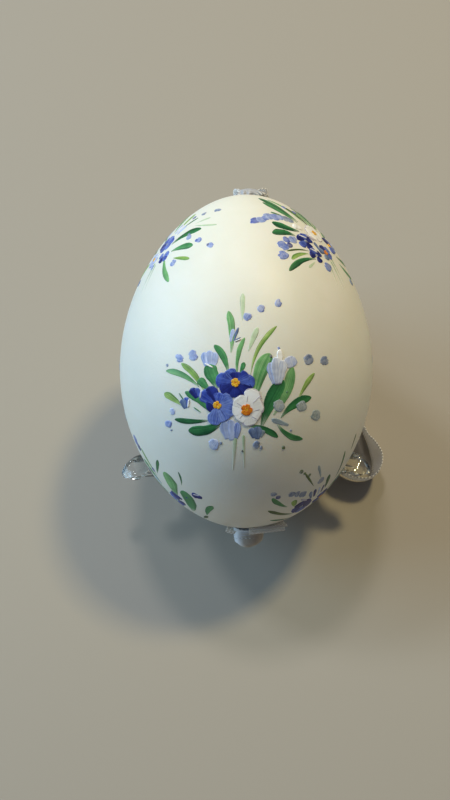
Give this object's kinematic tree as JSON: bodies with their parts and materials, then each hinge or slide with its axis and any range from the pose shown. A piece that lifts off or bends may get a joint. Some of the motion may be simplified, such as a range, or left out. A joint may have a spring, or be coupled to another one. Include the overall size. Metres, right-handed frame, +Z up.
{
  "type": "painted easter egg on stand",
  "caption": "Blown egg with hand-painted spring flowers, threaded on a white ribbon and leaning back on a small clear stand with flared petals.",
  "frame": {"origin": "On the table, under the middle of the egg and its stand, without the ribbon.", "axes": "+Z up; +Y is the way the egg's pointed end leans, away from the front; +X to the right as seen from the front, across the egg's width."},
  "size_m": [0.0502, 0.0634, 0.0536],
  "materials": {
    "eggshell": "matte cream white eggshell with hand-painted flowers in blue, white and green",
    "clear_plastic": "clear moulded plastic, polished",
    "ribbon": "white sheer satin ribbon with woven edges"
  },
  "bodies": {
    "root": {"eggshell": "eggshell", "egg_stand": "clear_plastic", "ribbon_loop": "ribbon", "ribbon_knot": "ribbon", "ribbon_tail_long": "ribbon", "ribbon_tail_short": "ribbon"}
  },
  "joints": []
}
